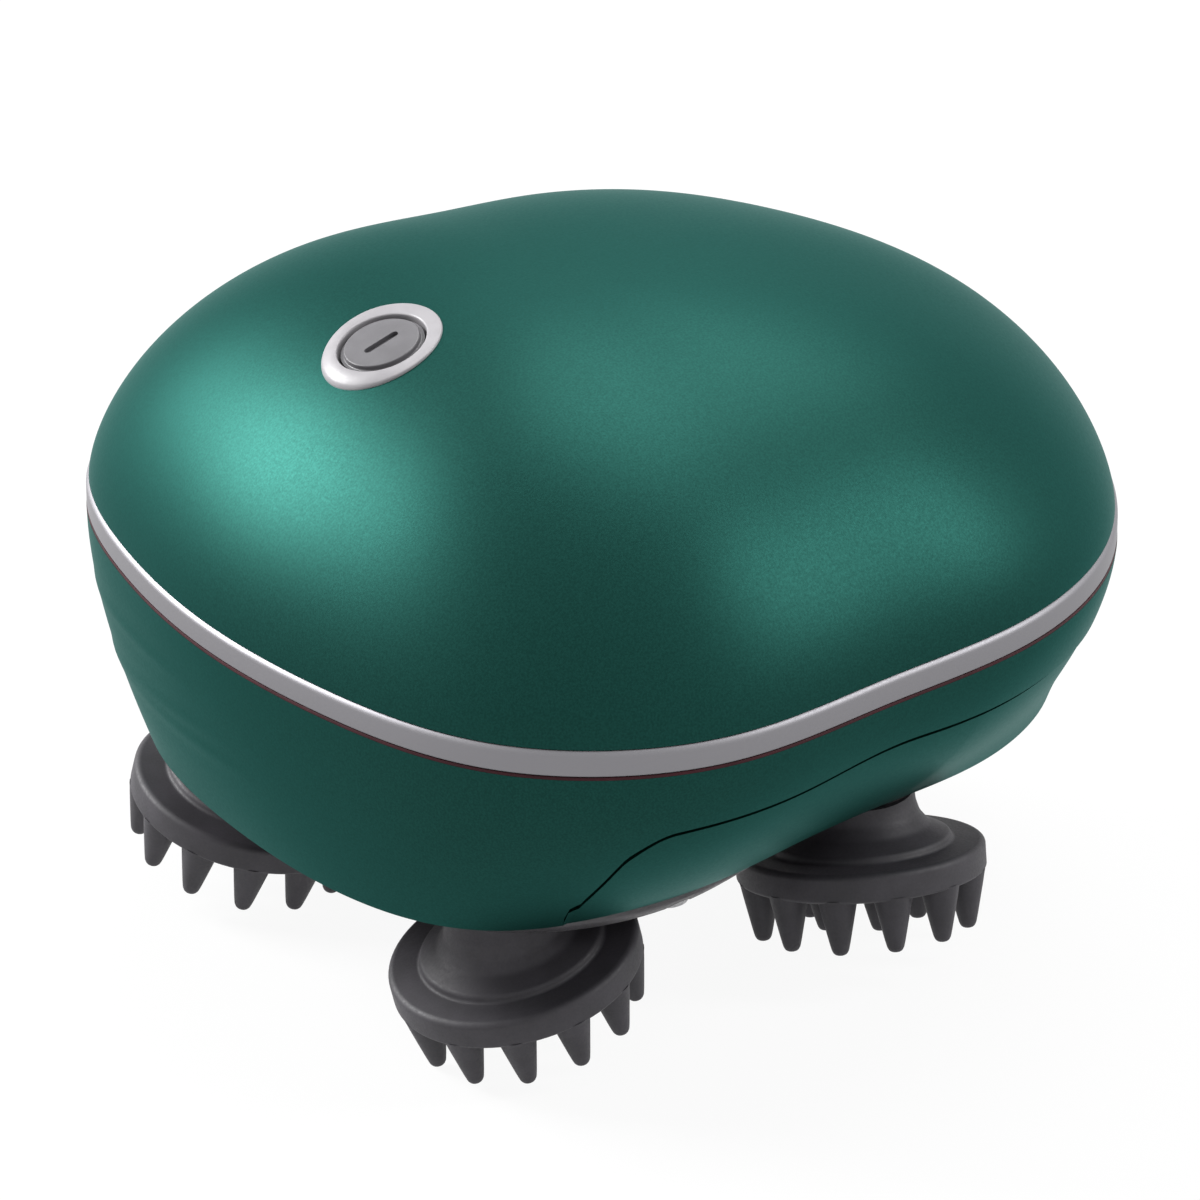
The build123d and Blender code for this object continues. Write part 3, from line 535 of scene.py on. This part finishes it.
# Upper edge of a side panel, tail to nose, in mm: distance along X and drop below the rim.
PANEL_EDGE = [(-37.4, 26.0), (-36.4, 18.4), (-34.7, 11.3), (-30.3, 8.1), (-14.8, 7.1), (1.1, 5.7),
              (10.5, 6.2), (34.1, 6.7), (64.0, 7.2)]
FIRST_DROP, DROP_STEPS = 8 * MM, 12               # start and steps of the search for that edge on a column
PANEL_DEPTH = 0.35 * MM
SEAM_WIDTH, SEAM_DEPTH = 0.75 * MM, 1.1 * MM      # the narrow seam along a panel's upper edge
SEAM_DRAFT = 0.05                 # lean of the seam's walls, as a share of its width
SEAM_ROOM = 1.2                   # the seam ends this many widths above the foot
SEAM_FADE = 0.8 * MM              # and gets shallow over this much drop
STEEPEST = 6.0                    # on a column a steep seam is at most this many times its own width
EVENED_COLUMNS = 4                # its width is averaged over this many columns to each side

# Faint ridges round the tail's left side: drop below the rim at the middle plane in mm, more drop per
# length along +Y, and the place along Y in mm where the ridge dies out.
TAIL_RIDGES = [(5.8, 0.055, 3.0), (11.0, 0.118, -5.0), (14.1, 0.047, -9.0)]
RIDGE_HEIGHT, RIDGE_WIDTH, RIDGE_FADE = 0.12 * MM, 1.0 * MM, 12 * MM
RIDGES_X = -30 * MM               # the ridges lie to the tail of this place
BAND_ROWS, PANEL_ROWS = 44, 26

PORT_ENDS = (50 * MM, 64 * MM)    # the port's opening is cut between these places along X
FACING_NOSE = Matrix(((0, 0, 1), (1, 0, 0), (0, 1, 0))).to_4x4()      # X, Y and Z go to Y, Z and X

FULLNESS = SIDE_FULLNESS - NOSE_LEAN * numpy.clip((RIM_LOOP[:, :1] - NOSE_START) / NOSE_SPAN, 0, 1)


def side_loop(drop):
    """The housing's outline at a drop below the rim."""
    return RIM_LOOP + (max(drop, 0.0) / HOUSING_HEIGHT) ** FULLNESS * (FOOT_LOOP - RIM_LOOP)


def side_point(column, drop, depth):
    """A point of the housing: on a column, at a drop below the rim and a depth in from its side."""
    loop = side_loop(drop)
    x, y = loop[column] + depth * inward(loop)[column]
    return (x, y, RIM_Z - drop)


def ridge_relief(column, drop):
    """How far the tail's ridges stand out at a point."""
    x, y = side_loop(drop)[column]
    if x > RIDGES_X:
        return 0.0
    relief = 0.0
    for level, slope, end in TAIL_RIDGES:
        off = (drop - level * MM - slope * y) / RIDGE_WIDTH
        fade = min(max((y - end * MM) / RIDGE_FADE, 0.0), 1.0) * min((RIDGES_X - x) / RIDGE_FADE, 1.0)
        relief += fade * math.exp(-off * off)
    return RIDGE_HEIGHT * relief


def panel_drops():
    """The drop of the panels' upper edge on each column, and the whole height where there is no panel."""
    line = [(x * MM, drop * MM) for x, drop in PANEL_EDGE]
    drops = []
    for column in range(COLUMNS):
        drop = FIRST_DROP
        for step in range(DROP_STEPS):
            x = side_loop(drop)[column][0]
            wanted = HOUSING_HEIGHT if x <= line[0][0] else min(eased(line, x), HOUSING_HEIGHT)
            drop = (drop + wanted) / 2
        drops.append(drop)
    return drops


def seam_stretches(drops):
    """How many times its own width the seam takes up on each column, because it crosses it at a slant."""
    slopes = chord(drops) / numpy.hypot(*chord(RIM_LOOP).T)
    stretches = numpy.minimum(numpy.hypot(1, slopes), STEEPEST)
    shifts = range(-EVENED_COLUMNS, EVENED_COLUMNS + 1)
    return sum(numpy.roll(stretches, shift) for shift in shifts) / len(shifts)


def housing_column(column, edge, stretch):
    """One column's section of the housing, down its outside from the seal's lap and up its inside."""
    width = SEAM_WIDTH * stretch
    room = HOUSING_HEIGHT - SEAM_ROOM * width
    edge = min(edge, room)
    start = edge + width
    share = min(1.0, (room - edge) / SEAM_FADE)
    depth = PANEL_DEPTH * share
    line = [(-SEAL_LAP, -SEAL_SKIN), (0.0, -SEAL_SKIN)]
    for row in range(1, BAND_ROWS + 1):
        drop = edge * row / BAND_ROWS
        line.append((drop, -ridge_relief(column, drop)))
    lean = width * SEAM_DRAFT
    line += [(edge + lean, SEAM_DEPTH * share), (start - lean, SEAM_DEPTH * share)]
    line += [(start + (HOUSING_HEIGHT - start) * row / PANEL_ROWS, depth) for row in range(PANEL_ROWS + 1)]
    flange = HOUSING_HEIGHT - (FOOT_LAP + FOOT_GAP)
    line += [(HOUSING_HEIGHT, depth + FOOT_SKIN), (flange, depth + FOOT_SKIN), (flange, FLANGE_WIDTH),
             (flange - FLANGE_THICKNESS, FLANGE_WIDTH), (flange - FLANGE_THICKNESS, WALL),
             (SHELF_THICKNESS, WALL), (SHELF_THICKNESS, SHELF_WIDTH), (0.0, SHELF_WIDTH), (0.0, SEAL_SKIN)]
    return [side_point(column, drop, inside) for drop, inside in line]


def housing_piece():
    """The lower housing: a band under the rim, a narrow seam along the panels' upper edge, and the panels."""
    drops = panel_drops()
    stretches = seam_stretches(drops)
    columns = [housing_column(column, drops[column], stretches[column]) for column in range(COLUMNS)]
    mesh = bmesh.new()
    add_rows(mesh, list(zip(*columns)), True)
    piece = plain("housing", mesh)
    plug_foot, plug_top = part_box("port_plug")
    middle = Matrix.Translation((0, 0, (plug_foot.z + plug_top.z) / 2))
    outline = slot_outline(2 * plug_top.y, plug_top.z - plug_foot.z)
    cut_by(piece, plain("opening", bar(outline, PORT_ENDS, middle @ FACING_NOSE)))
    dressed(piece, "green_paint", "case", "lower_housing", HARD_ANGLE)


# ---- Bands round the rim, in mm: distance in from the rim's line and height above the band's foot ------
TRIM_LINE = rounded([(2.4, 0.0), (0.0, 0.0), (0.0, 2.75), (0.5, 3.3), (2.4, 3.3)], 0.35)
SEAL_LINE = [(2.4, 0.0), (0.06, 0.0), (0.0, 0.1), (0.0, 0.5), (0.06, 0.6), (2.4, 0.6)]


def band_piece(name, node, slot, profile):
    """A closed band round the rim, from its profile."""
    inside = inward(RIM_LOOP)
    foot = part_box(node)[0].z
    rows = [[(x, y, foot + height) for x, y in RIM_LOOP + depth * inside] for depth, height in profile]
    mesh = bmesh.new()
    add_rows(mesh, rows, True)
    dressed(plain(name, mesh), slot, "case", node, SOFT_ANGLE)


# ---- Button and its ring -----------------------------------------------------------------------
BEZEL_RADIUS, BEZEL_BORE = 7.3 * MM, 5.4 * MM
BEZEL_THICKNESS, BEZEL_ROUND = 2.0 * MM, 0.3 * MM
BEZEL_PROUD = 0.3 * MM            # the ring's outer edge stands above the dome by this much
SLEEVE_LENGTH = 4.9 * MM
NEAR_SLEEVE = 0.01 * MM           # the ring is bent only where it is further out from its sleeve than this
CAP_RADIUS, CAP_STEP, CAP_DRAFT, CAP_ROUND = 4.55 * MM, 0.6 * MM, 0.05 * MM, 0.16 * MM
CAP_DEPTH = 1.9 * MM
STEM_RADIUS, STEM_LENGTH = 2.0 * MM, 3.7 * MM
MARK_LENGTH, MARK_WIDTH, MARK_DEPTH = 4.7 * MM, 1.0 * MM, 0.5 * MM
MARK_TOP = 1.0 * MM               # the mark is cut from this height above the face


def bezel_piece():
    """The pale ring round the button, bent to follow the dome, with its sleeve down through the cover."""
    line = [(BEZEL_BORE, -SLEEVE_LENGTH), (BEZEL_BORE, 0.0), (BEZEL_RADIUS, 0.0),
            (BEZEL_RADIUS, -BEZEL_THICKNESS), (SLEEVE_RADIUS, -BEZEL_THICKNESS),
            (SLEEVE_RADIUS, -SLEEVE_LENGTH)]
    soft = [line[0]] + rounded(line[:4], BEZEL_ROUND)[1:-1] + line[3:] + [line[0]]
    mesh = bmesh.new()
    lathe(mesh, soft, TURNED_STEPS)
    for vert in mesh.verts:
        reach = math.hypot(vert.co.x, vert.co.y)
        vert.co = BUTTON_PLACE @ vert.co
        if reach > SLEEVE_RADIUS + NEAR_SLEEVE:
            share = (reach - SLEEVE_RADIUS) / (BEZEL_RADIUS - SLEEVE_RADIUS)
            flat = BUTTON_FACE.z + (vert.co.x - BUTTON_FACE.x) * math.tan(BUTTON_TILT)
            vert.co.z += share * (dome_level(vert.co.x, vert.co.y) + BEZEL_PROUD - flat)
    dressed(plain("bezel_ring", mesh), "grey_ring", "case", "button_bezel", BUTTON_ANGLE)


def cap_piece():
    """The button: a flat cap whose edge is stepped down, with a plain line moulded in its face."""
    line = [(0.0, 0.0), (CAP_RADIUS, 0.0), (CAP_RADIUS + CAP_DRAFT, -CAP_STEP), (BUTTON_RADIUS, -CAP_STEP),
            (BUTTON_RADIUS, -CAP_DEPTH), (STEM_RADIUS, -CAP_DEPTH), (STEM_RADIUS, -STEM_LENGTH),
            (0.0, -STEM_LENGTH)]
    mesh = bmesh.new()
    lathe(mesh, rounded(line[:4], CAP_ROUND) + line[4:], TURNED_STEPS, BUTTON_PLACE)
    piece = plain("button_cap", mesh)
    outline = slot_outline(MARK_LENGTH, MARK_WIDTH)
    cut_by(piece, plain("mark", bar(outline, (-MARK_DEPTH, MARK_TOP), BUTTON_PLACE)))
    dressed(piece, "grey_button", "button", "power_button", BUTTON_ANGLE)


# ---- Massage heads: a trumpet-shaped neck, a rounded rim and round-tipped tines ----------------
HEAD_TILT = math.radians(14)
DISC_THICKNESS = 3.6 * MM
NECK_LENGTH = 7.4 * MM            # from the disc's face to the cut under the base plate, along the axis
# Rings of tines under the disc: ring radius, number of tines and their length.
TINES = [(12.65 * MM, 12, 6.8 * MM), (6.6 * MM, 6, 5.6 * MM)]
TINE_STEPS = 20
NECK_ROUND, TINE_ROUND, TINE_ROUND_STEPS = 0.5 * MM, 0.3 * MM, 3
# The way that each head leans at rest, in degrees from +X.
LEAN_AT_REST = {"tail_right": 175.0, "nose_right": 72.0, "tail_left": -60.0, "nose_left": -150.0}
# The neck, its lip and the disc's rounded rim, in mm: radius and height above the disc's face.
NECK_LINE = [(6.9, 14.0), (6.9, 7.2), (6.95, 5.2), (7.4, 3.6), (8.5, 2.2), (10.3, 1.25), (10.9, 0.95),
             (11.1, 0.15), (14.5, 0.0), (15.0, -0.45), (15.0, -3.3), (14.6, -3.6), (0.0, -3.6)]
# A tine, in mm: radius and height above the disc's underside.
TINE_LINE = [(2.45, 0.4), (2.35, 0.0), (2.2, -0.8), (1.75, -2.9), (1.25, -5.2), (1.0, -6.2), (0.72, -6.6),
             (0.0, -6.8)]


def head_piece(name):
    """One leaning head about its own shaft, trimmed level just under the base plate."""
    joint = next(j for j in frame["joints"] if j["name"] == f"head_spin_{name}")
    lean = math.radians(LEAN_AT_REST[name])
    reach = Vector((math.cos(lean), math.sin(lean), 0))
    pivot = Vector((joint["pos_m"][0], joint["pos_m"][1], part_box(f"crank_hub_{name}")[1].z))
    axis = reach * math.sin(HEAD_TILT) + Vector((0, 0, math.cos(HEAD_TILT)))
    across = reach * math.cos(HEAD_TILT) - Vector((0, 0, math.sin(HEAD_TILT)))
    turn = Matrix((across, axis.cross(across), axis)).transposed().to_4x4()
    disc = Matrix.Translation(pivot - axis * NECK_LENGTH) @ turn
    mesh = bmesh.new()
    lathe(mesh, rounded(scaled(NECK_LINE), NECK_ROUND), TURNED_STEPS, disc)
    geometry = mesh.verts[:] + mesh.edges[:] + mesh.faces[:]
    cut = bmesh.ops.bisect_plane(mesh, geom=geometry, plane_co=pivot, plane_no=(0, 0, 1), clear_outer=True)
    rim = [item for item in cut["geom_cut"] if isinstance(item, bmesh.types.BMEdge)]
    bmesh.ops.contextual_create(mesh, geom=rim)
    root = (0.0, TINE_LINE[0][1] * MM)
    for ring, count, length in TINES:
        tine = [root] + rounded(scaled(TINE_LINE, length), TINE_ROUND, TINE_ROUND_STEPS)
        for step in range(count):
            angle = 2 * math.pi * step / count
            spot = Matrix.Translation((ring * math.cos(angle), ring * math.sin(angle), -DISC_THICKNESS))
            lathe(mesh, tine, TINE_STEPS, disc @ spot)
    piece = plain(f"head_{name}", mesh)
    dressed(piece, "head_silicone", f"head_{name}", f"massage_head_{name}", SOFT_ANGLE)


cover_piece()
housing_piece()
band_piece("trim_band", "trim_ring", "satin_trim", scaled(TRIM_LINE))
band_piece("seal_band", "seal_gasket", "maroon_seal", scaled(SEAL_LINE))
bezel_piece()
cap_piece()
for place in LEAN_AT_REST:
    head_piece(place)


# ---- Floor, background and light ---------------------------------------------------------------
WORLD_LIGHT = 0.3                 # the world's strength on the object; what is seen of it has strength 1
FLOOR_SIZE = 6.0
FLOOR_BLOTCH = 0.3
FLOOR_GLOW = 0.93                 # share of plain white in the floor where it is seen, the rest takes shadow


def seen_directly(tree):
    """1 for rays that show the background: camera, glossy and transmission rays."""
    rays = tree.nodes.new("ShaderNodeLightPath").outputs
    seen = rays["Is Camera Ray"]
    for kind in ("Is Glossy Ray", "Is Transmission Ray"):
        either = tree.nodes.new("ShaderNodeMath")
        either.operation = "MAXIMUM"
        tree.links.new(seen, either.inputs[0])
        tree.links.new(rays[kind], either.inputs[1])
        seen = either.outputs[0]
    return seen


def make_world():
    """A white background that lights the object only a little."""
    world = bpy.data.worlds.new("studio")
    bpy.context.scene.world = world
    world.use_nodes = True
    tree = world.node_tree
    background = tree.nodes["Background"]
    background.inputs["Color"].default_value = (1, 1, 1, 1)
    strength = tree.nodes.new("ShaderNodeMapRange")
    strength.inputs["To Min"].default_value = WORLD_LIGHT
    strength.inputs["To Max"].default_value = 1.0
    tree.links.new(seen_directly(tree), strength.inputs["Value"])
    tree.links.new(strength.outputs["Result"], background.inputs["Strength"])


def make_floor():
    """A white floor that melts into the background and keeps the object's shadow."""
    mesh = bpy.data.meshes.new("floor")
    half = FLOOR_SIZE / 2
    corners = [(-half, -half, 0), (half, -half, 0), (half, half, 0), (-half, half, 0)]
    mesh.from_pydata(corners, [], [(0, 1, 2, 3)])
    floor = linked("floor", mesh)
    finish = Finish("floor", Roughness=0.9, Specular_IOR_Level=0.0)
    finish.colour(finish.noise(FLOOR_BLOTCH), (0.90, 0.90, 0.90), (0.94, 0.94, 0.94))
    glow = finish.tree.nodes.new("ShaderNodeEmission")
    share = finish.tree.nodes.new("ShaderNodeMath")
    share.operation = "MULTIPLY"
    share.inputs[1].default_value = FLOOR_GLOW
    finish.link(seen_directly(finish.tree), share.inputs[0])
    mix = finish.tree.nodes.new("ShaderNodeMixShader")
    finish.link(share.outputs[0], mix.inputs["Fac"])
    finish.link(finish.shader.outputs[0], mix.inputs[1])
    finish.link(glow.outputs[0], mix.inputs[2])
    finish.link(mix.outputs[0], finish.tree.nodes["Material Output"].inputs["Surface"])
    mesh.materials.append(finish.material)


def area_light(name, azimuth, elevation, distance, power, size, size_y=None):
    """A soft lamp that faces the object from an azimuth, in degrees from +X, and an elevation."""
    light = bpy.data.lights.new(name, "AREA")
    light.energy = power
    light.size = size
    if size_y:
        light.shape = "RECTANGLE"
        light.size_y = size_y
    azimuth, elevation = math.radians(azimuth), math.radians(elevation)
    out = Vector((math.cos(azimuth) * math.cos(elevation), math.sin(azimuth) * math.cos(elevation),
                  math.sin(elevation)))
    aim(linked(name, light), out, distance)


make_world()
make_floor()
area_light("key", azimuth=126, elevation=29, distance=0.9, power=13.0, size=0.40)
area_light("side", azimuth=-36, elevation=33, distance=0.9, power=3.9, size=0.20, size_y=0.5)
area_light("top", azimuth=35, elevation=62, distance=1.0, power=7.4, size=0.7)
place_camera()

scene = bpy.context.scene
scene.view_settings.view_transform = "Standard"
